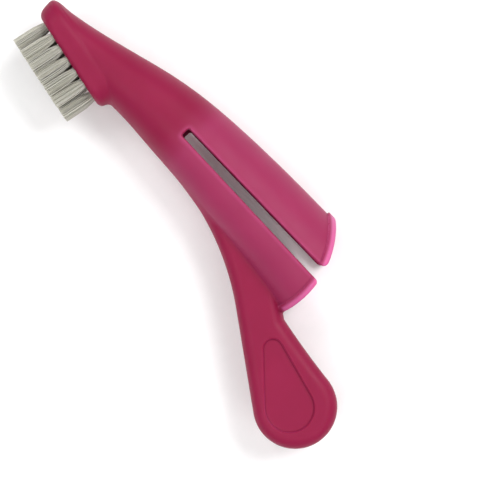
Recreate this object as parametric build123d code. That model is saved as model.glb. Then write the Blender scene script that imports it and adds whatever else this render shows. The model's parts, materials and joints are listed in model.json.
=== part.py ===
from build123d import *
import math
import os

# Pet finger toothbrush. Millimetres.
# +X runs along the finger towards the brush head, +Y points to the palm side (bristles and
# handle), +Z is the side of the finger. The brush is symmetric about Z = 0.
# The origin is the centre of the finger sleeve's mouth, on the line of the side slits.

# ---- driving dimensions ----
WALL = 2.0                    # sleeve wall
SLEEVE_START = -8.0           # the sleeve is drawn past its mouth, then trimmed by the mouth arc
CAVITY_DOME_X = 41.0          # where the straight part of the finger cavity ends
CAVITY_DOME_LENGTH = 8.5
MOUTH_ARC = ((8.9, -12.6), (-0.1, 3.6), (0.6, 12.6))
MOUTH_PAD = 40.0              # how far the cutters reach past the mouth
LIP_WIDTH = 1.75
LIP_HEIGHT = 0.5

SLIT_END_X = 46.1
SLIT_HALF_END = 1.1           # half width at the closed end
SLIT_HALF_MOUTH = 1.5         # half width at the mouth
SLIT_MOUTH_X = -5.0           # where the slit has its half width at the mouth
UPPER_CORNER = 2.0            # corner of the upper jaw between slit and mouth
LOWER_CORNER = 0.8

FLEX_GAP = 0.45               # cut across the dorsal wall where the upper jaw bends
REACH = 16.0                  # how far cutters reach from the finger axis, past the sleeve
CUTTER_LENGTH = 120.0         # of the blocks that keep one end of the sleeve

FACE_CENTRE = (76.9, 8.2)     # centre of the bristle field on the head's face
FACE_TILT = -10.2             # degrees, slope of the face against the finger axis
ROW_PITCH = 3.2
ROW_TUFTS = (2, 4, 4, 4, 4, 4, 2)      # from the nose to the heel of the head
COLUMN_PITCH = 2.7
HOLE_RADIUS = 0.9
HOLE_DEPTH = 3.0
BRISTLE_LENGTH = 8.2          # above the face
TIP_RADIUS = 1.28
ANCHOR = (2.4, 1.4, 0.3)      # along the head, along the hole, thickness
ANCHOR_LIFT = 0.5             # from the hole's bottom to the anchor

HANDLE_THICKNESS = 8.0
HANDLE_EDGE = 3.0             # rounding of the handle's rim
HANDLE_SLOPE = 34.0           # degrees, lean of the handle's straight front edge
FRONT_BEND = (44.4, 72.5)     # centre of the long bend from the sleeve into the front edge
FRONT_BEND_RADIUS = 64.0
FRONT_BEND_START = 10.1       # degrees, where the bend leaves the sleeve wall
PADDLE_RUN = 24.8             # straight front edge, from the bend to the round end
PADDLE_RADIUS = 9.8
PADDLE_REAR_ANGLE = 265.0     # where the round end meets the rear edge
REAR_RADIUS = 200.0
REAR_SWEEP = 5.0              # degrees
HEEL = (6.0, 8.5)             # where the rear edge has run into the sleeve's hollow
ROOT_Y = -3.0                 # the handle's blank reaches into the hollow, which trims it
ROOT_X = 46.0
RECESS_TOP = (-4.05, 19.6, 2.25)       # centre and radius of the recess's narrow end
RECESS_BOTTOM = (-16.6, 26.2, 5.7)
RECESS_DEPTH = 0.7

# Sections of the sleeve and head: x, dorsal y, palm-side y, half width
SECTIONS = (
    (SLEEVE_START, -11.5, 12.5, 12.1),
    (2.0, -11.25, 11.9, 11.6),
    (10.0, -11.08, 11.05, 11.1),
    (20.0, -10.9, 10.3, 10.55),
    (30.0, -10.5, 9.7, 10.1),
    (40.0, -9.82, 8.85, 9.5),
    (50.0, -8.63, 8.4, 8.65),
    (60.0, -6.5, 8.05, 7.7),
    (66.0, -4.78, 8.25, 7.0),
    (72.0, -3.05, 8.0, 6.35),
    (80.0, -0.95, 6.6, 5.6),
    (86.0, 0.32, 5.4, 4.6),
    (88.4, 0.85, 4.7, 3.8),
)
LIP_SECTIONS = SECTIONS[:4]
SLEEVE_SECTIONS = SECTIONS[:7]
# Sections of the head block, by depth under the bristle face:
# depth, heel end, nose end (both along the face from its centre), half width, corner radius
HEAD_SECTIONS = (
    (0.0, -12.1, 12.1, 5.5, 4.9),
    (0.6, -12.7, 12.8, 6.05, 5.4),
    (1.8, -12.8, 13.5, 6.25, 5.6),
    (3.6, -12.0, 14.0, 6.1, 5.5),
    (4.7, -11.0, 13.9, 5.5, 5.0),
    (5.3, -10.3, 13.3, 4.8, 4.4),
)


def section(x, low, high, half_width):
    """An elliptical section across the finger axis."""
    plane = Plane(origin=(x, (low + high) / 2, 0), x_dir=(0, 1, 0), z_dir=(1, 0, 0))
    return plane * Ellipse((high - low) / 2, half_width)


def skin(grow, sections):
    """A smooth solid through sections that are each grown by the given amount."""
    return loft([
        section(x, low - grow, high + grow, half_width + grow)
        for x, low, high, half_width in sections
    ])


def finger_cavity():
    """The space for the finger: the sleeve less its wall, closed by a dome."""
    body = skin(-WALL, SLEEVE_SECTIONS)
    keep = Pos(CAVITY_DOME_X - CUTTER_LENGTH / 2, 0, 0) * Box(CUTTER_LENGTH, 2 * REACH, 2 * REACH)
    straight = body & keep
    (x0, low0, high0, half0), (x1, low1, high1, half1) = SLEEVE_SECTIONS[-2:]
    t = (CAVITY_DOME_X - x0) / (x1 - x0)
    low = low0 + t * (low1 - low0) + WALL
    high = high0 + t * (high1 - high0) - WALL
    half_width = half0 + t * (half1 - half0) - WALL
    dome = scale(Sphere(1), by=(CAVITY_DOME_LENGTH, (high - low) / 2, half_width))
    return straight + Pos(CAVITY_DOME_X, (low + high) / 2, 0) * dome


def face_plane(depth=0.0):
    """The bristle face moved in by a depth: x along the head to the nose, z out of the face."""
    turn = math.radians(FACE_TILT)
    along = Vector(math.cos(turn), math.sin(turn), 0)
    out = Vector(-math.sin(turn), math.cos(turn), 0)
    centre = Vector(*FACE_CENTRE, 0) - out * depth
    return Plane(origin=centre, x_dir=along, z_dir=out)


def head_block():
    """The head that holds the bristles, lofted through outlines parallel to its face."""
    faces = []
    for depth, heel, nose, half_width, corner in HEAD_SECTIONS:
        outline = Pos((heel + nose) / 2, 0) * RectangleRounded(nose - heel, 2 * half_width, corner)
        faces.append(face_plane(depth) * outline)
    return loft(faces)


def mouth_block(shift=0.0):
    """Everything beyond the mouth arc, with the arc moved along the finger by shift."""
    top, middle, bottom = [(x + shift, y) for x, y in MOUTH_ARC]
    arc = ThreePointArc(top, middle, bottom)
    far = -MOUTH_PAD
    rest = Polyline(bottom, (far, bottom[1]), (far, top[1]), top)
    return extrude(make_face(arc + rest), REACH, both=True)


def jaw_outline(side, corner):
    """Block that one jaw fills: side is -1 for the dorsal jaw and +1 for the palm-side jaw."""
    top, middle, bottom = MOUTH_ARC
    arc = ThreePointArc(top, middle, bottom)
    far = side * REACH
    slit_mouth = side * SLIT_HALF_MOUTH
    slit_end = side * SLIT_HALF_END
    end_x = SLIT_END_X - (FLEX_GAP if side < 0 else 0)
    edge = Polyline(
        (end_x, slit_end), (SLIT_MOUTH_X, slit_mouth), (SLIT_MOUTH_X, far), (end_x, far), close=True
    )
    beyond = Polyline(bottom, (-MOUTH_PAD, bottom[1]), (-MOUTH_PAD, top[1]), top)
    outline = make_face(edge) - make_face(arc + beyond)
    corners = outline.vertices().sort_by(lambda v: abs(v.Y) + abs(v.X) / 100)
    mouth_corner = [v for v in corners if v.X < 10 and abs(v.Y) < 3]
    return extrude(fillet(mouth_corner, corner), REACH, both=True)


def polar(centre, radius, degrees):
    """The point at that radius and angle from a centre."""
    turn = math.radians(degrees)
    return (centre[0] + radius * math.cos(turn), centre[1] + radius * math.sin(turn))


def handle():
    """Curved fin that widens into a round paddle, its rim rounded on both sides."""
    bend_start = polar(FRONT_BEND, FRONT_BEND_RADIUS, 270 - FRONT_BEND_START)
    bend_middle = polar(FRONT_BEND, FRONT_BEND_RADIUS, 270 - (FRONT_BEND_START + HANDLE_SLOPE) / 2)
    bend_end = polar(FRONT_BEND, FRONT_BEND_RADIUS, 270 - HANDLE_SLOPE)
    paddle_front = polar(bend_end, PADDLE_RUN, 180 - HANDLE_SLOPE)
    paddle_centre = polar(paddle_front, PADDLE_RADIUS, 270 - HANDLE_SLOPE)
    paddle_rear = polar(paddle_centre, PADDLE_RADIUS, PADDLE_REAR_ANGLE)
    run_in = bend_start[1] - (ROOT_X - bend_start[0]) * math.tan(math.radians(FRONT_BEND_START))
    front = Polyline((ROOT_X, ROOT_Y), (ROOT_X, run_in), bend_start)
    bend = ThreePointArc(bend_start, bend_middle, bend_end)
    straight = Line(bend_end, paddle_front)
    end_middle = polar(paddle_centre, PADDLE_RADIUS, (90 - HANDLE_SLOPE + PADDLE_REAR_ANGLE) / 2)
    end = ThreePointArc(paddle_front, end_middle, paddle_rear)
    rear = JernArc(paddle_rear, polar((0, 0), 1, PADDLE_REAR_ANGLE + 90), REAR_RADIUS, -REAR_SWEEP)
    root = Polyline(rear @ 1, HEEL, (HEEL[0], ROOT_Y), (ROOT_X, ROOT_Y))
    outline = make_face(front + bend + straight + end + rear + root)
    notch = outline.vertices().sort_by_distance(rear @ 1)[0]
    blank = extrude(fillet(notch, HANDLE_EDGE), HANDLE_THICKNESS / 2, both=True)
    rim = [e for e in blank.edges() if abs(abs(e.center().Z) - HANDLE_THICKNESS / 2) < 0.01]
    return fillet(rim, HANDLE_EDGE)


def recess(side):
    """Cutter for the shallow flat-floored recess in one side of the paddle."""
    circles = [Pos(x, y) * Circle(radius) for x, y, radius in (RECESS_TOP, RECESS_BOTTOM)]
    outline = make_hull(circles[0].edges() + circles[1].edges())
    floor = HANDLE_THICKNESS / 2 - RECESS_DEPTH
    return Pos(0, 0, side * (floor + RECESS_DEPTH)) * extrude(outline, RECESS_DEPTH, both=True)


def sleeve():
    """Sleeve, neck and head with the finger cavity, still whole round the slits."""
    lip = skin(LIP_HEIGHT, LIP_SECTIONS) & (mouth_block(LIP_WIDTH) - mouth_block())
    outside = (skin(0, SECTIONS) - mouth_block()) + lip
    return (outside - finger_cavity()) + head_block()


def tuft_places():
    """Row, column and place on the face of every tuft, from the nose to the heel."""
    places = []
    for row, count in enumerate(ROW_TUFTS):
        along = ((len(ROW_TUFTS) - 1) / 2 - row) * ROW_PITCH
        for column in range(count):
            across = (column - (count - 1) / 2) * COLUMN_PITCH
            places.append((row + 1, column + 1, along, across))
    return places


def at_face(along, across, lift):
    """A place over the bristle face: lift is measured out of the face."""
    return face_plane() * Pos(along, across, lift)


def anchor(along, across):
    """Metal strip that holds a tuft's folded strands in its hole."""
    length, height, thickness = ANCHOR
    lift = -HOLE_DEPTH + ANCHOR_LIFT + height / 2
    return at_face(along, across, lift) * Box(length, thickness, height)


def tuft(along, across):
    """One tuft: straight in its hole, then opening a little towards the trimmed tips."""
    root = at_face(along, across, -HOLE_DEPTH / 2) * Cylinder(HOLE_RADIUS, HOLE_DEPTH)
    brush = at_face(along, across, BRISTLE_LENGTH / 2) * Cone(HOLE_RADIUS, TIP_RADIUS, BRISTLE_LENGTH)
    return (root + brush) - anchor(along, across)


def hole(along, across):
    """Cutter for a tuft's blind hole, as far above the face as it is deep."""
    return at_face(along, across, 0) * Cylinder(HOLE_RADIUS, 2 * HOLE_DEPTH)


def main():
    """Writes one STEP file per piece."""
    os.makedirs("parts", exist_ok=True)
    whole = sleeve()
    upper_jaw = whole & jaw_outline(-1, UPPER_CORNER)
    lower_jaw = whole & jaw_outline(1, LOWER_CORNER)
    ahead = Pos(SLIT_END_X + CUTTER_LENGTH / 2, 0, 0) * Box(CUTTER_LENGTH, 2 * REACH, 2 * REACH)
    front = whole & ahead
    body = front + lower_jaw + (handle() - finger_cavity())
    places = [(along, across) for row, column, along, across in tuft_places()]
    anchors = [anchor(along, across) for along, across in places]
    holes = [hole(along, across) for along, across in places]
    body = body - [recess(-1), recess(1)] - holes - anchors
    for row, column, along, across in tuft_places():
        export_step(tuft(along, across), f"parts/tuft_row{row}_{column}.step")
    export_step(body, "parts/brush_body.step")
    export_step(upper_jaw, "parts/upper_jaw.step")
    export_step(Compound(children=anchors), "parts/tuft_anchors.step")


main()
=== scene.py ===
import json
import math
import bmesh
import bpy
import numpy as np
import openvdb
from mathutils import Matrix, Vector

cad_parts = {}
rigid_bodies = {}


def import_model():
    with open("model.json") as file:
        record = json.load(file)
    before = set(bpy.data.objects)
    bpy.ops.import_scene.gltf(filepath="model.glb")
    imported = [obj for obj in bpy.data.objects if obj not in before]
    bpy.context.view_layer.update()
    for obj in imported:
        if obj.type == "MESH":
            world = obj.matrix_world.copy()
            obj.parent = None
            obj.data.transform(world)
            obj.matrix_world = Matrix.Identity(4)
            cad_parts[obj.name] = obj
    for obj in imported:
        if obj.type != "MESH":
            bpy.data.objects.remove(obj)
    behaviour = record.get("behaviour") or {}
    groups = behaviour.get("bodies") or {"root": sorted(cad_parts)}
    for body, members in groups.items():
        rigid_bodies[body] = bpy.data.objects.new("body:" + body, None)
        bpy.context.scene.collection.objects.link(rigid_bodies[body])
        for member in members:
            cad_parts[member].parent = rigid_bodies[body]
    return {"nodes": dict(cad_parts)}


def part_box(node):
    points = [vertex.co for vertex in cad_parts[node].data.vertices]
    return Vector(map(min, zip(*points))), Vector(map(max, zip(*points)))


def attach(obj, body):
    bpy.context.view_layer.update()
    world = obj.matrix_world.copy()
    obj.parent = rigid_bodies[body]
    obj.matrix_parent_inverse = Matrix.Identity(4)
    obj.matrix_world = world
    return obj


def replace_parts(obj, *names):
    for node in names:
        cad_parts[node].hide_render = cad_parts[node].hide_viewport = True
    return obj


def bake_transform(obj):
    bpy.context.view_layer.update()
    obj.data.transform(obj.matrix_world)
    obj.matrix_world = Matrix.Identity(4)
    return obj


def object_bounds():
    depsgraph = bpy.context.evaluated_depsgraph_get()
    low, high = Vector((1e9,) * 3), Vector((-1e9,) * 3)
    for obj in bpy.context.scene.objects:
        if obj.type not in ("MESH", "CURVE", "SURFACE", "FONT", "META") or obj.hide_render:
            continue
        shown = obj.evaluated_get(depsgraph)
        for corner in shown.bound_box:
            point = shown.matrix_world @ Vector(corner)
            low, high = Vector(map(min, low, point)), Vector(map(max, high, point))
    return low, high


for leftover in list(bpy.data.objects):
    bpy.data.objects.remove(leftover)
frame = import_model()
cad_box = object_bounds()

MM = 0.001

# ---- the moulding's dimensions, in millimetres, as in the design ----
WALL = 2.0
CAVITY_DOME_X = 41.0
CAVITY_DOME_LENGTH = 8.5
MOUTH_ARC = ((8.9, -12.6), (-0.1, 3.6), (0.6, 12.6))
LIP_WIDTH = 1.75
LIP_HEIGHT = 0.5
LIP_STEP = 0.25               # run of the slope from the sleeve up to the lip
SLIT_END_X = 46.1
SLIT_HALF_END = 1.1
SLIT_HALF_MOUTH = 1.5
SLIT_MOUTH_X = -5.0
SLIT_CORNER = 0.5
UPPER_CORNER = 2.0
LOWER_CORNER = 0.8
MOULDED_EDGE = 0.4            # rounding that the mould gives every thin edge
FACE_CENTRE = (76.9, 8.2)     # middle of the bristle field
FACE_TILT = math.radians(-10.2)
ROW_PITCH = 3.2
END_ROW = 3                   # rows on each side of the middle one
COLUMN_PITCH = 2.7
HOLE_RADIUS = 0.95
HOLE_DEPTH = 3.0
HANDLE_HALF = 4.0             # half its thickness
HANDLE_EDGE = 3.0
HANDLE_SLOPE = math.radians(34.0)
FRONT_BEND = (44.4, 72.5)
FRONT_BEND_RADIUS = 64.0
FRONT_BEND_START = math.radians(10.1)
PADDLE_RUN = 24.8
PADDLE_RADIUS = 9.8
PADDLE_REAR = math.radians(265.0)
REAR_RADIUS = 200.0
REAR_SWEEP = math.radians(5.0)
ROOT_X = 46.0
ROOT_Y = -3.0
HEEL = (6.0, 8.5)
RECESS_TOP = (-4.05, 19.6, 2.25)
RECESS_BOTTOM = (-16.6, 26.2, 5.7)
RECESS_DEPTH = 0.7
RECESS_CORNER = 0.25
NOSE_EDGE = 1.0
HEAD_EDGE = 0.5
NECK_FILLET = 1.6
HANDLE_FILLET = 0.5
HOLE_EDGE = 0.1
OUTLINE_STEP = 0.5            # between points on an arc of the outline
# x, dorsal y, palm-side y, half width
SECTIONS = np.array((
    (-8.0, -11.5, 12.5, 12.1),
    (2.0, -11.25, 11.9, 11.6),
    (10.0, -11.08, 11.05, 11.1),
    (20.0, -10.9, 10.3, 10.55),
    (30.0, -10.5, 9.7, 10.1),
    (40.0, -9.82, 8.85, 9.5),
    (50.0, -8.63, 8.4, 8.65),
    (60.0, -6.5, 8.05, 7.7),
    (66.0, -4.78, 8.25, 7.0),
    (72.0, -3.05, 8.0, 6.35),
    (80.0, -0.95, 6.6, 5.6),
    (86.0, 0.32, 5.4, 4.6),
    (88.4, 0.85, 4.7, 3.8),
))
# depth under the bristle face, heel end, nose end, half width, corner radius
HEAD_SECTIONS = np.array((
    (0.0, -12.1, 12.1, 5.5, 4.9),
    (0.6, -12.7, 12.8, 6.05, 5.4),
    (1.8, -12.8, 13.5, 6.25, 5.6),
    (3.6, -12.0, 14.0, 6.1, 5.5),
    (4.7, -11.0, 13.9, 5.5, 5.0),
    (5.3, -10.3, 13.3, 4.8, 4.4),
))

VOXEL = 0.34                  # of the grid that the moulding is meshed on
GRID_MARGIN = 4               # voxels between the moulding and the end of the grid
FAR_OUTSIDE = 10.0            # voxels: what the grid gives where nothing is near
PROBE = 0.01                  # step for the slope of the surface
GENTLEST_SLOPE = 0.5          # a smaller slope would throw a point too far
SETTLING_STEPS = 2
THIN_PROBES = (1.2, 2.4, 4.0)  # depths at which a point feels for the plastic's far side
LIP_PAINTED_GLOW = 1.2            # painted highlight on the lip, above the thin walls' painted glow: light comes in at the mouth's edge
LIP_REACH = 1.5               # lip widths from the mouth to where its painted highlight has gone
JAW_ROOT_X = 45.9             # where the upper jaw is cut from the body
MOULDING_PIECES = (("moulded_body", False), ("moulded_upper_jaw", True))

# ---- bristles ----
BRISTLE_LENGTH = 8.2
TIP_RADIUS = 1.28             # of the plain solid that stands for a tuft
GOLDEN_TURN = math.pi * (3 - math.sqrt(5))
RINGS = 6                     # along a strand
RING_CROWDING = 1.8           # power that draws the rings towards the face, where strands flare
TIP_FULLNESS = 0.6            # a strand's radius at its rounded tip, of its full radius
STRAND_SIDES = 6
# lengths in metres, as the node tree takes them
TUFT_INPUTS = {
    "Strands per tuft": ("NodeSocketInt", 84),
    "Length": ("NodeSocketFloat", BRISTLE_LENGTH * MM),
    "Root height": ("NodeSocketFloat", -1.0 * MM),
    "Strand radius": ("NodeSocketFloat", 0.085 * MM),
    "Root radius": ("NodeSocketFloat", 0.88 * MM),
    "Tip radius": ("NodeSocketFloat", 1.55 * MM),
    "Stray": ("NodeSocketFloat", 0.2 * MM),
    "Flare height": ("NodeSocketFloat", 1.1 * MM),
    "Shortest": ("NodeSocketFloat", 0.985),
    "Face tilt": ("NodeSocketFloat", FACE_TILT),
}

# ---- studio ----
SENSOR = 36.0
CAMERA_HEIGHT = 600.0         # above the finger axis
CAMERA_TURN = 46.6            # degrees from the finger axis to the picture's left
VIEW_CENTRE = (16.2, 7.8)
VIEW_WIDTH = 116.3            # in the plane of the finger axis
BOARD_SIZE = 6.0              # metres
BOARD_GAP = 0.05              # under the brush
ROOM_LIGHT = 0.35
SOFTBOX_SIZE = 0.9            # metres
# name, place in metres, watts
SOFTBOXES = (
    ("back_softbox", (-0.1, -1.05, 1.45), 22.0),
    ("palm_softbox", (0.1, 1.0, 1.5), 10.0),
    ("head_softbox", (1.1, 0.1, 1.5), 9.0),
    ("handle_softbox", (-1.1, 0.1, 1.5), 7.0),
)


# ---- the shape of the moulding ----

def spline_slopes(x, y):
    """Slopes of the natural cubic spline through the points (x, y), for each column of y."""
    n = len(x)
    step = np.diff(x)
    rise = np.diff(y, axis=0) / step[:, None]
    system = np.zeros((n, n))
    right = np.zeros_like(y)
    system[0, :2] = (2, 1)
    system[-1, -2:] = (1, 2)
    right[0], right[-1] = 3 * rise[0], 3 * rise[-1]
    for i in range(1, n - 1):
        system[i, i - 1:i + 2] = (step[i], 2 * (step[i - 1] + step[i]), step[i - 1])
        right[i] = 3 * (step[i] * rise[i - 1] + step[i - 1] * rise[i])
    return np.linalg.solve(system, right)


def through(table, at):
    """Every column of a table of sections at the places given, on a smooth line through them."""
    x, y = table[:, 0], table[:, 1:]
    slopes = spline_slopes(x, y)
    at = np.clip(at, x[0], x[-1])
    i = np.clip(np.searchsorted(x, at) - 1, 0, len(x) - 2)
    step = (x[i + 1] - x[i])[..., None]
    t = (at - x[i])[..., None] / step
    value = ((1 + 2 * t) * (1 - t) ** 2 * y[i] + t * (1 - t) ** 2 * step * slopes[i]
             + t * t * (3 - 2 * t) * y[i + 1] - t * t * (1 - t) * step * slopes[i + 1])
    return np.moveaxis(value, -1, 0)


def rounded_both(a, b, radius):
    """Distance to what lies inside both a and b, the edge between them rounded."""
    outside = np.hypot(np.maximum(a + radius, 0), np.maximum(b + radius, 0))
    return np.minimum(np.maximum(a, b), -radius) + outside


def filleted_either(a, b, radius):
    """Distance to what lies inside a or b, the corner between them filled by a fillet."""
    return -rounded_both(-a, -b, radius)


def oval_distance(u, v, half_u, half_v, t=0.0, half_t=1.0):
    """Distance to an ellipse, or to an ellipsoid where t isn't zero."""
    k = np.sqrt((u / half_u) ** 2 + (v / half_v) ** 2 + (t / half_t) ** 2)
    slope = np.sqrt((u / half_u ** 2) ** 2 + (v / half_v ** 2) ** 2 + (t / half_t ** 2) ** 2)
    return k * (k - 1) / np.maximum(slope, 1e-6)


def circle_through(points):
    """Centre and radius of the circle through three points."""
    (ax, ay), (bx, by), (cx, cy) = points
    system = np.array(((bx - ax, by - ay), (cx - ax, cy - ay)))
    right = np.array((bx * bx + by * by, cx * cx + cy * cy)) - (ax * ax + ay * ay)
    centre = np.linalg.solve(system, right / 2)
    return centre, math.hypot(ax - centre[0], ay - centre[1])


def polar(centre, radius, angle):
    """The point at an angle and a radius from a centre."""
    return np.array((centre[0] + radius * math.cos(angle), centre[1] + radius * math.sin(angle)))


def mouth_distance(x, y):
    """Distance past the sleeve's mouth: negative towards the head."""
    centre, radius = circle_through(MOUTH_ARC)
    return np.where(x < centre[0], np.hypot(x - centre[0], y - centre[1]), 0) - radius


def slit_distance(x, y):
    """Side view of the slit, which widens towards the mouth."""
    run = (x - SLIT_MOUTH_X) / (SLIT_END_X - SLIT_MOUTH_X)
    half = SLIT_HALF_MOUTH + (SLIT_HALF_END - SLIT_HALF_MOUTH) * run
    return rounded_both(np.abs(y) - half, x - SLIT_END_X, SLIT_CORNER)


def jaw_outline(x, y):
    """Side view of both jaws: what the mouth arc and the slits leave, corners rounded."""
    mouth, slit = mouth_distance(x, y), slit_distance(x, y)
    upper = rounded_both(mouth, -slit, UPPER_CORNER)
    lower = rounded_both(mouth, -slit, LOWER_CORNER)
    return np.where(y < 0, upper, lower)


def core_distance(x, y, z):
    """The sleeve, neck and head as smooth oval sections, with the lip at the mouth."""
    low, high, half = through(SECTIONS, x)
    inset = np.clip((-mouth_distance(x, y) - LIP_WIDTH) / LIP_STEP + 0.5, 0, 1)
    lip = LIP_HEIGHT * (1 - inset * inset * (3 - 2 * inset))
    oval = oval_distance(y - (low + high) / 2, z, (high - low) / 2, half) - lip
    return rounded_both(oval, x - SECTIONS[-1, 0], NOSE_EDGE)


def cavity_distance(x, y, z):
    """The finger cavity: the sleeve less its wall, closed by a dome."""
    low, high, half = through(SECTIONS, np.minimum(x, CAVITY_DOME_X))
    past = np.maximum(x - CAVITY_DOME_X, 0)
    return oval_distance(y - (low + high) / 2, z, (high - low) / 2 - WALL, half - WALL,
                         past, CAVITY_DOME_LENGTH)


def on_face(x, y):
    """Place along the bristle face and depth under it."""
    dx, dy = x - FACE_CENTRE[0], y - FACE_CENTRE[1]
    cos, sin = math.cos(FACE_TILT), math.sin(FACE_TILT)
    return dx * cos + dy * sin, dx * sin - dy * cos


def head_distance(x, y, z):
    """The head block, as rounded rectangles at each depth under the bristle face."""
    along, depth = on_face(x, y)
    heel, nose, half, corner = through(HEAD_SECTIONS, depth)
    u = np.abs(along - (heel + nose) / 2) - (nose - heel) / 2 + corner
    v = np.abs(z) - half + corner
    plan = np.hypot(np.maximum(u, 0), np.maximum(v, 0)) - corner
    plan = plan + np.minimum(np.maximum(u, v), 0)
    slab = np.maximum(-depth, depth - HEAD_SECTIONS[-1, 0])
    return rounded_both(plan, slab, HEAD_EDGE)


def arc_points(centre, radius, start, end):
    """Points along an arc, close enough together to shade as a smooth curve."""
    count = max(4, int(abs(end - start) * radius / OUTLINE_STEP))
    return [polar(centre, radius, angle) for angle in np.linspace(start, end, count)]


def handle_outline():
    """Outline of the fin and paddle, running back from the sleeve along the front edge."""
    down = 1.5 * math.pi
    bend_start = polar(FRONT_BEND, FRONT_BEND_RADIUS, down - FRONT_BEND_START)
    bend_end = polar(FRONT_BEND, FRONT_BEND_RADIUS, down - HANDLE_SLOPE)
    paddle_front = polar(bend_end, PADDLE_RUN, math.pi - HANDLE_SLOPE)
    paddle = polar(paddle_front, PADDLE_RADIUS, down - HANDLE_SLOPE)
    rear_centre = polar(paddle, PADDLE_RADIUS + REAR_RADIUS, PADDLE_REAR)
    run_in = bend_start[1] - (ROOT_X - bend_start[0]) * math.tan(FRONT_BEND_START)
    points = [(ROOT_X, ROOT_Y), (ROOT_X, run_in)]
    points += arc_points(FRONT_BEND, FRONT_BEND_RADIUS, down - FRONT_BEND_START, down - HANDLE_SLOPE)
    points += arc_points(paddle, PADDLE_RADIUS, math.pi / 2 - HANDLE_SLOPE, PADDLE_REAR)
    rear_start = PADDLE_REAR - math.pi
    points += arc_points(rear_centre, REAR_RADIUS, rear_start, rear_start - REAR_SWEEP)
    points += [HEEL, (HEEL[0], ROOT_Y)]
    return np.array(points, float)


def outline_distance(x, y, outline):
    """Signed distance to a closed outline in the XY plane, negative inside."""
    x, y = np.broadcast_arrays(x, y)
    nearest = np.full(x.shape, np.inf)
    inside = np.zeros(x.shape, bool)
    for (ax, ay), (bx, by) in zip(outline, np.roll(outline, -1, axis=0)):
        ex, ey = bx - ax, by - ay
        length = ex * ex + ey * ey
        if length < 1e-12:
            continue
        t = np.clip(((x - ax) * ex + (y - ay) * ey) / length, 0, 1)
        nearest = np.minimum(nearest, np.hypot(x - ax - t * ex, y - ay - t * ey))
        if ey:
            inside ^= ((ay > y) != (by > y)) & (x < ex * (y - ay) / ey + ax)
    return np.where(inside, -nearest, nearest)


def recess_distance(x, y, z):
    """A shallow recess in each side: a wide and a narrow circle joined by their tangents."""
    (ax, ay, a_radius), (bx, by, b_radius) = RECESS_BOTTOM, RECESS_TOP
    length = math.hypot(bx - ax, by - ay)
    ux, uy = (bx - ax) / length, (by - ay) / length
    along = (x - ax) * ux + (y - ay) * uy
    across = np.abs((y - ay) * ux - (x - ax) * uy)
    lean = (a_radius - b_radius) / length
    upright = math.sqrt(1 - lean * lean)
    side = across * upright + along * lean - a_radius
    place = along * upright - across * lean
    wide = np.hypot(across, along) - a_radius
    narrow = np.hypot(across, along - length) - b_radius
    plan = np.where(place < 0, wide, np.where(place > length * upright, narrow, side))
    floor = HANDLE_HALF - RECESS_DEPTH
    return rounded_both(plan, floor - np.abs(z), RECESS_CORNER)


def hole_distance(x, y, z):
    """The blind holes of the tufts: two in the first and last row and four in the others."""
    along, depth = on_face(x, y)
    row = np.clip(np.round(along / ROW_PITCH), -END_ROW, END_ROW)
    # the columns stand half a pitch and one and a half pitches from the mid-plane
    outer = (np.abs(z) > COLUMN_PITCH) & (np.abs(row) < END_ROW)
    column = COLUMN_PITCH * np.where(outer, 1.5, 0.5)
    round_wall = np.hypot(along - row * ROW_PITCH, np.abs(z) - column) - HOLE_RADIUS
    return np.maximum(round_wall, depth - HOLE_DEPTH)


def undrilled_distance(x, y, z, outline):
    """Distance to the surface of the moulding without its holes, negative inside the plastic."""
    solid = filleted_either(core_distance(x, y, z), head_distance(x, y, z), NECK_FILLET)
    cavity = cavity_distance(x, y, z)
    shell = rounded_both(np.maximum(solid, -cavity), jaw_outline(x, y), MOULDED_EDGE)
    plan = outline_distance(x, y, outline)
    handle = np.maximum(rounded_both(plan, np.abs(z) - HANDLE_HALF, HANDLE_EDGE), -cavity)
    whole = filleted_either(shell, handle, HANDLE_FILLET)
    return rounded_both(whole, -recess_distance(x, y, z), RECESS_CORNER)


def moulding_distance(x, y, z, outline):
    """Distance to the surface of the whole moulding, negative inside the plastic."""
    return rounded_both(undrilled_distance(x, y, z, outline), -hole_distance(x, y, z), HOLE_EDGE)


def settle(points, outline):
    """Points moved one Newton step onto the surface, and the outward direction at each."""
    slope = np.empty_like(points)
    for axis in range(3):
        ahead, behind = points.copy(), points.copy()
        ahead[:, axis] += PROBE
        behind[:, axis] -= PROBE
        rise = moulding_distance(*ahead.T, outline) - moulding_distance(*behind.T, outline)
        slope[:, axis] = rise / (2 * PROBE)
    squared = np.maximum((slope * slope).sum(1), GENTLEST_SLOPE ** 2)[:, None]
    value = np.clip(moulding_distance(*points.T, outline), -VOXEL / 2, VOXEL / 2)[:, None]
    return points - value * slope / squared, slope / np.sqrt(squared)


def painted_glow(points, outward, outline):
    """Painted glow at each point, for light that would come through thin plastic: 0 where solid, 1 on a
    thin wall, most on the lip, where it is a painted highlight.
    """
    thin = np.zeros(len(points))
    for probe in THIN_PROBES:
        depth = undrilled_distance(*(points - probe * outward).T, outline)
        thin += np.clip(1 + depth / probe, 0, 1) / len(THIN_PROBES)
    x, y = points[:, 0], points[:, 1]
    lip = np.clip(LIP_REACH - np.abs(mouth_distance(x, y)) / LIP_WIDTH, 0, 1)
    # the mouth's arc runs on past the sleeve, across the handle, which has no lip
    lip *= np.clip(MOUTH_ARC[-1][1] - y, 0, 1)
    return np.maximum(thin, LIP_PAINTED_GLOW * lip)


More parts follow.
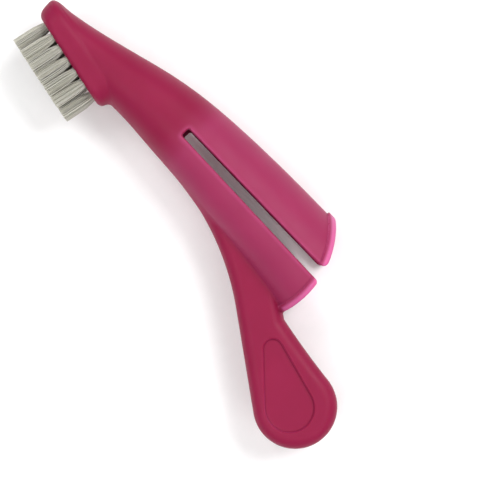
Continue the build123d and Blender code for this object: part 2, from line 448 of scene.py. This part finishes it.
def moulding_surface():
    """Points on the moulding's surface in millimetres, the quads between them, and the painted glow at
    each.
    """
    low = np.array(cad_box[0]) / MM - GRID_MARGIN * VOXEL
    high = np.array(cad_box[1]) / MM + GRID_MARGIN * VOXEL
    x, y, z = (np.arange(a, b, VOXEL) for a, b in zip(low, high))
    outline = handle_outline()
    field = moulding_distance(x[:, None, None], y[None, :, None], z[None, None, :], outline)
    grid = openvdb.FloatGrid(FAR_OUTSIDE)
    grid.copyFromArray((field / VOXEL).astype(np.float32))
    points, quads = grid.convertToQuads(0.0)
    points = points * VOXEL + low
    for _ in range(SETTLING_STEPS):
        points, outward = settle(points, outline)
    return points, quads, painted_glow(points, outward, outline)


def add_object(name, mesh):
    """A new object in the scene."""
    thing = bpy.data.objects.new(name, mesh)
    bpy.context.scene.collection.objects.link(thing)
    return thing


def moulding_piece(whole, name, is_jaw):
    """The whole moulding's mesh on one side of the cut at the slits' closed ends, capped there."""
    bm = bmesh.new()
    bm.from_mesh(whole)
    root_x, reach = JAW_ROOT_X * MM, 2 * VOXEL * MM
    firsts = [(face, face.verts[0].co) for face in bm.faces]
    near = [face for face, corner in firsts if corner.y < 0 and abs(corner.x - root_x) < reach]
    around = {part for face in near for part in (face, *face.edges, *face.verts)}
    root = {"plane_co": (root_x, 0, 0), "plane_no": (1, 0, 0)}
    bmesh.ops.bisect_plane(bm, geom=list(around), dist=1e-8, **root)
    middles = [(face, face.calc_center_median()) for face in bm.faces]
    other = [face for face, middle in middles if (middle.y < 0 and middle.x < root_x) != is_jaw]
    bmesh.ops.delete(bm, geom=other, context="FACES")
    rim = [edge for edge in bm.edges if edge.is_boundary]
    bmesh.ops.triangle_fill(bm, use_beauty=True, use_dissolve=False, edges=rim)
    for edge in rim:
        edge.smooth = False
    bmesh.ops.recalc_face_normals(bm, faces=bm.faces)
    mesh = bpy.data.meshes.new(name)
    bm.to_mesh(mesh)
    bm.free()
    return add_object(name, mesh)


def build_moulding(material):
    """The body and the upper jaw: two closed pieces whose surfaces meet at the jaw's root."""
    points, quads, thin = moulding_surface()
    whole = bpy.data.meshes.new("moulding")
    whole.from_pydata((points * MM).tolist(), [], quads.tolist())
    whole.shade_smooth()
    # the painted glow, kept on the points so that the finish paints thin walls and the lip paler
    stored = whole.attributes.new("painted_glow", "FLOAT", "POINT")
    stored.data.foreach_set("value", thin.astype(np.float32))
    pieces = [moulding_piece(whole, name, is_jaw) for name, is_jaw in MOULDING_PIECES]
    for piece in pieces:
        piece.data.materials.append(material)
    bpy.data.meshes.remove(whole)
    return pieces


# ---- nodes and finishes ----

def linear(colour):
    """An sRGB hex colour as linear RGBA."""
    values = [int(colour[i:i + 2], 16) / 255 for i in (1, 3, 5)]
    return (*(v / 12.92 if v <= 0.04045 else ((v + 0.055) / 1.055) ** 2.4 for v in values), 1.0)


def add_node(tree, kind, settings=(), inputs=()):
    """A node with its settings. An input is a value, a socket, or a node: its first output."""
    node = tree.nodes.new(kind)
    for name, value in dict(settings).items():
        setattr(node, name, value)
    for name, value in dict(inputs).items():
        if isinstance(value, bpy.types.Node):
            value = value.outputs[0]
        if isinstance(value, bpy.types.NodeSocket):
            tree.links.new(value, node.inputs[name])
        else:
            node.inputs[name].default_value = value
    return node


def new_material(name):
    """A material with an empty node tree."""
    material = bpy.data.materials.new(name)
    material.use_nodes = True
    material.node_tree.nodes.clear()
    return material, material.node_tree


def satin_polypropylene():
    """Magenta polypropylene, injection moulded in a lightly blasted mould: a soft satin gloss,
    colour that clouds a little with the flow, and a painted glow on thin walls, which are painted
    paler where light would come through them, with a painted highlight on the lip most of all."""
    material, tree = new_material("moulded_satin_polypropylene")
    place = add_node(tree, "ShaderNodeTexCoord").outputs["Object"]
    # flow clouds about 9 mm across
    cloud = add_node(tree, "ShaderNodeTexNoise", {},
                     {"Vector": place, "Scale": 1 / (9 * MM), "Detail": 2.0})
    dye = add_node(tree, "ShaderNodeMix", {"data_type": "RGBA"},
                   {0: cloud.outputs["Fac"], 6: linear("#84133A"), 7: linear("#8F1742")})
    # painted glow: a thin wall is painted 0.3 of the way to the pale colour, and the lip a little over 0.6,
    # a painted highlight
    thin = add_node(tree, "ShaderNodeAttribute", {"attribute_name": "painted_glow"})
    steep = add_node(tree, "ShaderNodeMath", {"operation": "POWER"}, {0: thin.outputs["Fac"], 1: 4.0})
    glow = add_node(tree, "ShaderNodeMapRange", {}, {"Value": steep, "From Max": 3.0, "To Max": 0.9})
    colour = add_node(tree, "ShaderNodeMix", {"data_type": "RGBA"},
                      {0: glow, 6: dye.outputs[2], 7: linear("#E674B2")})
    # gloss uneven in patches about 5 mm across
    patch = add_node(tree, "ShaderNodeTexNoise", {},
                     {"Vector": place, "Scale": 1 / (5 * MM), "Detail": 3.0})
    polish = add_node(tree, "ShaderNodeMapRange", {}, {
        "Value": patch.outputs["Fac"], "From Min": 0.3, "From Max": 0.7, "To Min": 0.45, "To Max": 0.54})
    # blasting pits, really about 0.05 mm, drawn 0.35 mm across so that they show
    pits = add_node(tree, "ShaderNodeTexNoise", {},
                    {"Vector": place, "Scale": 1 / (0.35 * MM), "Detail": 2.0})
    relief = add_node(tree, "ShaderNodeBump", {},
                      {"Height": pits.outputs["Fac"], "Strength": 0.15, "Distance": 0.02 * MM})
    shader = add_node(tree, "ShaderNodeBsdfPrincipled", {}, {
        "Base Color": colour.outputs[2], "Roughness": polish, "Normal": relief, "IOR": 1.49,
        "Specular IOR Level": 0.18, "Subsurface Weight": 0.35, "Subsurface Radius": (1.0, 0.3, 0.45),
        "Subsurface Scale": 1.5 * MM})
    add_node(tree, "ShaderNodeOutputMaterial", {}, {"Surface": shader})
    return material


def drawn_nylon():
    """Nylon drawn into 0.17 mm filament, uncoloured: milky white with a soft shine along each
    strand, and no two strands quite the same tone."""
    material, tree = new_material("drawn_nylon_filament")
    tone = add_node(tree, "ShaderNodeAttribute", {"attribute_name": "strand_tone"})
    colour = add_node(tree, "ShaderNodeMix", {"data_type": "RGBA"},
                      {0: tone.outputs["Fac"], 6: linear("#A6A394"), 7: linear("#D0CEC1")})
    shader = add_node(tree, "ShaderNodeBsdfPrincipled", {}, {
        "Base Color": colour.outputs[2], "Roughness": 0.35, "IOR": 1.53, "Subsurface Weight": 0.6,
        "Subsurface Radius": (1.0, 1.0, 0.9), "Subsurface Scale": 0.8 * MM})
    add_node(tree, "ShaderNodeOutputMaterial", {}, {"Surface": shader})
    return material


def rolled_brass():
    """Brass strip, cold rolled and cut: yellow metal, its shine broken up by rolling marks."""
    material, tree = new_material("rolled_brass_strip")
    place = add_node(tree, "ShaderNodeTexCoord").outputs["Object"]
    # rolling marks 0.1 mm apart
    marks = add_node(tree, "ShaderNodeTexNoise", {},
                     {"Vector": place, "Scale": 1 / (0.1 * MM), "Detail": 2.0})
    polish = add_node(tree, "ShaderNodeMapRange", {},
                      {"Value": marks.outputs["Fac"], "To Min": 0.25, "To Max": 0.4})
    shader = add_node(tree, "ShaderNodeBsdfPrincipled", {}, {
        "Base Color": linear("#D9B36A"), "Metallic": 1.0, "Roughness": polish})
    add_node(tree, "ShaderNodeOutputMaterial", {}, {"Surface": shader})
    return material


def matt_white_card():
    """Matt coated card: a flat white with the faintest mottle, and no shine."""
    material, tree = new_material("matt_coated_white_card")
    place = add_node(tree, "ShaderNodeTexCoord").outputs["Object"]
    # mottle about 4 mm across
    grain = add_node(tree, "ShaderNodeTexNoise", {}, {"Vector": place, "Scale": 1 / (4 * MM)})
    colour = add_node(tree, "ShaderNodeMix", {"data_type": "RGBA"},
                      {0: grain.outputs["Fac"], 6: linear("#F8F8F8"), 7: linear("#FFFFFF")})
    shader = add_node(tree, "ShaderNodeBsdfPrincipled", {}, {
        "Base Color": colour.outputs[2], "Roughness": 0.9, "Specular IOR Level": 0.1})
    add_node(tree, "ShaderNodeOutputMaterial", {}, {"Surface": shader})
    return material


# ---- bristles ----

def strand_mesh(tree, given):
    """One strand along Z with its rounded tip up, from below the face to its full length."""
    along = add_node(tree, "GeometryNodeSplineParameter").outputs["Factor"]
    crowded = add_node(tree, "ShaderNodeMath", {"operation": "POWER"}, {0: along, 1: RING_CROWDING})
    height = add_node(tree, "ShaderNodeMapRange", {}, {
        "Value": crowded, "To Min": given["Root height"], "To Max": given["Length"]})
    # the strand keeps its full radius up to the last ring but one
    fullness = add_node(tree, "ShaderNodeMapRange", {}, {
        "Value": along, "From Min": (RINGS - 2) / (RINGS - 1), "To Min": 1.0, "To Max": TIP_FULLNESS})
    place = add_node(tree, "ShaderNodeCombineXYZ", {}, {"Z": height})
    line = add_node(tree, "GeometryNodeCurvePrimitiveLine")
    rings = add_node(tree, "GeometryNodeResampleCurve", {}, {"Curve": line, "Count": RINGS})
    placed = add_node(tree, "GeometryNodeSetPosition", {}, {"Geometry": rings, "Position": place})
    tapered = add_node(tree, "GeometryNodeSetCurveRadius", {}, {"Curve": placed, "Radius": fullness})
    circle = add_node(tree, "GeometryNodeCurvePrimitiveCircle", {},
                      {"Resolution": STRAND_SIDES, "Radius": given["Strand radius"]})
    tube = add_node(tree, "GeometryNodeCurveToMesh", {},
                    {"Curve": tapered, "Profile Curve": circle, "Fill Caps": True})
    smooth = add_node(tree, "GeometryNodeSetShadeSmooth", {}, {"Geometry": tube})
    position = add_node(tree, "GeometryNodeInputPosition")
    parts = add_node(tree, "ShaderNodeSeparateXYZ", {}, {"Vector": position})
    return add_node(tree, "GeometryNodeStoreNamedAttribute", {"data_type": "FLOAT", "domain": "POINT"},
                    {"Geometry": smooth, "Name": "height", "Value": parts.outputs["Z"]})


def strand_points(tree, given):
    """A point for each strand of each tuft, the sunflower direction that it stands in from the
    tuft's middle, and its share of the way out."""
    strands = add_node(tree, "GeometryNodeDuplicateElements", {"domain": "POINT"},
                       {"Geometry": given["Geometry"], "Amount": given["Strands per tuft"]})
    order = strands.outputs["Duplicate Index"]
    counted = add_node(tree, "ShaderNodeMath", {"operation": "ADD"}, {0: order, 1: 0.5})
    area = add_node(tree, "ShaderNodeMath", {"operation": "DIVIDE"},
                    {0: counted, 1: given["Strands per tuft"]})
    share = add_node(tree, "ShaderNodeMath", {"operation": "SQRT"}, {0: area})
    turn = add_node(tree, "ShaderNodeMath", {"operation": "MULTIPLY"}, {0: order, 1: -GOLDEN_TURN})
    direction = add_node(tree, "ShaderNodeVectorRotate", {"rotation_type": "Y_AXIS"},
                         {"Vector": (1.0, 0.0, 0.0), "Angle": turn})
    return strands, direction, share


def strand_lean(tree, given, direction, share):
    """How far each strand's tip stands off its root: fanned out, and a little astray."""
    spread = add_node(tree, "ShaderNodeMath", {"operation": "SUBTRACT"},
                      {0: given["Tip radius"], 1: given["Root radius"]})
    out = add_node(tree, "ShaderNodeMath", {"operation": "MULTIPLY"}, {0: share, 1: spread})
    fan = add_node(tree, "ShaderNodeVectorMath", {"operation": "SCALE"},
                   {"Vector": direction, "Scale": out})
    back = add_node(tree, "ShaderNodeMath", {"operation": "MULTIPLY"}, {0: given["Stray"], 1: -1.0})
    along, across = (add_node(tree, "FunctionNodeRandomValue", {"data_type": "FLOAT"},
                              {2: back, 3: given["Stray"], "Seed": seed}) for seed in (1, 2))
    stray = add_node(tree, "ShaderNodeCombineXYZ", {}, {"X": along.outputs[1], "Z": across.outputs[1]})
    return add_node(tree, "ShaderNodeVectorMath", {"operation": "ADD"}, {0: fan, 1: stray})


def flared(tree, given, strands):
    """Strands that flare out soon after they leave the hole, then stand nearly parallel."""
    height = add_node(tree, "GeometryNodeInputNamedAttribute", {"data_type": "FLOAT"}, {"Name": "height"})
    fan = add_node(tree, "GeometryNodeInputNamedAttribute", {"data_type": "FLOAT_VECTOR"}, {"Name": "fan"})
    above = add_node(tree, "ShaderNodeMath", {"operation": "MAXIMUM"}, {0: height, 1: 0.0})
    run = add_node(tree, "ShaderNodeMath", {"operation": "DIVIDE"}, {0: above, 1: given["Flare height"]})
    fall = add_node(tree, "ShaderNodeMath", {"operation": "MULTIPLY"}, {0: run, 1: -1.0})
    closed = add_node(tree, "ShaderNodeMath", {"operation": "EXPONENT"}, {0: fall})
    opened = add_node(tree, "ShaderNodeMath", {"operation": "SUBTRACT"}, {0: 1.0, 1: closed})
    shift = add_node(tree, "ShaderNodeVectorMath", {"operation": "SCALE"}, {"Vector": fan, "Scale": opened})
    return add_node(tree, "GeometryNodeSetPosition", {}, {"Geometry": strands, "Offset": shift})


def tuft_tree(material):
    """Geometry nodes that grow a tuft of fanned strands from every point they are given."""
    tree = bpy.data.node_groups.new("tufts_of_strands", "GeometryNodeTree")
    tree.interface.new_socket("Geometry", in_out="INPUT", socket_type="NodeSocketGeometry")
    keys = {}
    for name, (kind, value) in TUFT_INPUTS.items():
        keys[name] = tree.interface.new_socket(name, in_out="INPUT", socket_type=kind).identifier
    tree.interface.new_socket("Geometry", in_out="OUTPUT", socket_type="NodeSocketGeometry")
    given = add_node(tree, "NodeGroupInput").outputs

    strands, direction, share = strand_points(tree, given)
    radius = add_node(tree, "ShaderNodeMath", {"operation": "MULTIPLY"},
                      {0: share, 1: given["Root radius"]})
    root = add_node(tree, "ShaderNodeVectorMath", {"operation": "SCALE"},
                    {"Vector": direction, "Scale": radius})
    lean = strand_lean(tree, given, direction, share)
    # both are worked out for a level face, and turned with the tilt of the real one
    start, fan = (add_node(tree, "ShaderNodeVectorRotate", {"rotation_type": "Z_AXIS"},
                           {"Vector": level, "Angle": given["Face tilt"]}) for level in (root, lean))
    rooted = add_node(tree, "GeometryNodeSetPosition", {}, {"Geometry": strands, "Offset": start})
    # a quarter turn about X and the face's tilt stand the strand on the face
    stance = add_node(tree, "ShaderNodeCombineXYZ", {}, {"X": -math.pi / 2, "Z": given["Face tilt"]})
    shortness = add_node(tree, "FunctionNodeRandomValue", {"data_type": "FLOAT"},
                         {2: given["Shortest"], 3: 1.0, "Seed": 3})
    size = add_node(tree, "ShaderNodeCombineXYZ", {}, {"X": 1.0, "Y": 1.0, "Z": shortness.outputs[1]})
    placed = add_node(tree, "GeometryNodeInstanceOnPoints", {}, {
        "Points": rooted, "Instance": strand_mesh(tree, given), "Rotation": stance, "Scale": size})
    tone = add_node(tree, "FunctionNodeRandomValue", {"data_type": "FLOAT"}, {2: 0.0, 3: 1.0, "Seed": 4})
    toned = add_node(tree, "GeometryNodeStoreNamedAttribute",
                     {"data_type": "FLOAT", "domain": "INSTANCE"},
                     {"Geometry": placed, "Name": "strand_tone", "Value": tone.outputs[1]})
    fanned = add_node(tree, "GeometryNodeStoreNamedAttribute",
                      {"data_type": "FLOAT_VECTOR", "domain": "INSTANCE"},
                      {"Geometry": toned, "Name": "fan", "Value": fan})
    real = add_node(tree, "GeometryNodeRealizeInstances", {}, {"Geometry": fanned})
    done = add_node(tree, "GeometryNodeSetMaterial", {},
                    {"Geometry": flared(tree, given, real), "Material": material})
    add_node(tree, "NodeGroupOutput", {}, {"Geometry": done})
    return tree, keys


def build_bristles(tufts, material):
    """All the tufts as one mesh, each rooted where its solid's tip and length put it."""
    upright = Vector((-math.sin(FACE_TILT), math.cos(FACE_TILT), 0))
    sideways = Vector((math.cos(FACE_TILT), math.sin(FACE_TILT), 0))
    roots = []
    for name in tufts:
        low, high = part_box(name)
        inset = TIP_RADIUS * MM * sideways
        tip = Vector((high.x - inset.x, high.y + inset.y, (low.z + high.z) / 2))
        roots.append(tip - BRISTLE_LENGTH * MM * upright)
    mesh = bpy.data.meshes.new("tuft_roots")
    mesh.from_pydata(roots, [], [])
    seed = add_object("tuft_roots", mesh)
    tree, keys = tuft_tree(material)
    modifier = seed.modifiers.new("tufts", "NODES")
    modifier.node_group = tree
    for name, (kind, value) in TUFT_INPUTS.items():
        modifier[keys[name]] = value
    bpy.context.view_layer.update()
    grown = seed.evaluated_get(bpy.context.evaluated_depsgraph_get())
    bristles = add_object("bristles", bpy.data.meshes.new_from_object(grown))
    bpy.data.objects.remove(seed)
    return bristles


# ---- studio ----

def add_camera():
    """Looking straight down on the brush, turned so that the head is at the top left."""
    camera = bpy.data.objects.new("camera", bpy.data.cameras.new("camera"))
    camera.data.sensor_width = SENSOR
    camera.data.lens = SENSOR * CAMERA_HEIGHT / VIEW_WIDTH
    turn = math.radians(CAMERA_TURN)
    right = (-math.cos(turn), -math.sin(turn), 0)
    up = (math.sin(turn), -math.cos(turn), 0)
    camera.matrix_world = Matrix((right, up, (0, 0, 1))).transposed().to_4x4()
    camera.location = (VIEW_CENTRE[0] * MM, VIEW_CENTRE[1] * MM, CAMERA_HEIGHT * MM)
    bpy.context.scene.collection.objects.link(camera)
    bpy.context.scene.camera = camera


def add_softbox(name, place, power):
    """A square area light aimed at the middle of the view."""
    light = bpy.data.lights.new(name, "AREA")
    light.size = SOFTBOX_SIZE
    light.energy = power
    box = bpy.data.objects.new(name, light)
    box.location = place
    aim = Vector((VIEW_CENTRE[0] * MM, VIEW_CENTRE[1] * MM, 0)) - box.location
    box.rotation_euler = aim.to_track_quat("-Z", "Y").to_euler()
    bpy.context.scene.collection.objects.link(box)


def build_studio():
    """A white board under the brush, a pale room and four soft boxes."""
    half = BOARD_SIZE / 2
    level = cad_box[0][2] - BOARD_GAP * MM
    ends = ((-half, -half), (half, -half), (half, half), (-half, half))
    corners = [(x, y, level) for x, y in ends]
    mesh = bpy.data.meshes.new("board")
    mesh.from_pydata(corners, [], [(0, 1, 2, 3)])
    mesh.materials.append(matt_white_card())
    add_object("board", mesh)
    world = bpy.data.worlds.new("room")
    world.use_nodes = True
    background = world.node_tree.nodes["Background"]
    background.inputs["Color"].default_value = linear("#FFFFFF")
    background.inputs["Strength"].default_value = ROOM_LIGHT
    scene = bpy.context.scene
    scene.world = world
    scene.view_settings.view_transform = "Standard"
    for softbox in SOFTBOXES:
        add_softbox(*softbox)


# ---- the brush ----

add_camera()
body, jaw = build_moulding(satin_polypropylene())
tufts = sorted(name for name in frame["nodes"] if name.startswith("tuft_row"))
bristles = build_bristles(tufts, drawn_nylon())
anchors = frame["nodes"]["tuft_anchors"]
anchors.data.materials.clear()
anchors.data.materials.append(rolled_brass())
build_studio()

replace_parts(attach(body, "brush"), "brush_body")
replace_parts(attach(bristles, "brush"), *tufts)
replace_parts(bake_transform(jaw), "upper_jaw")
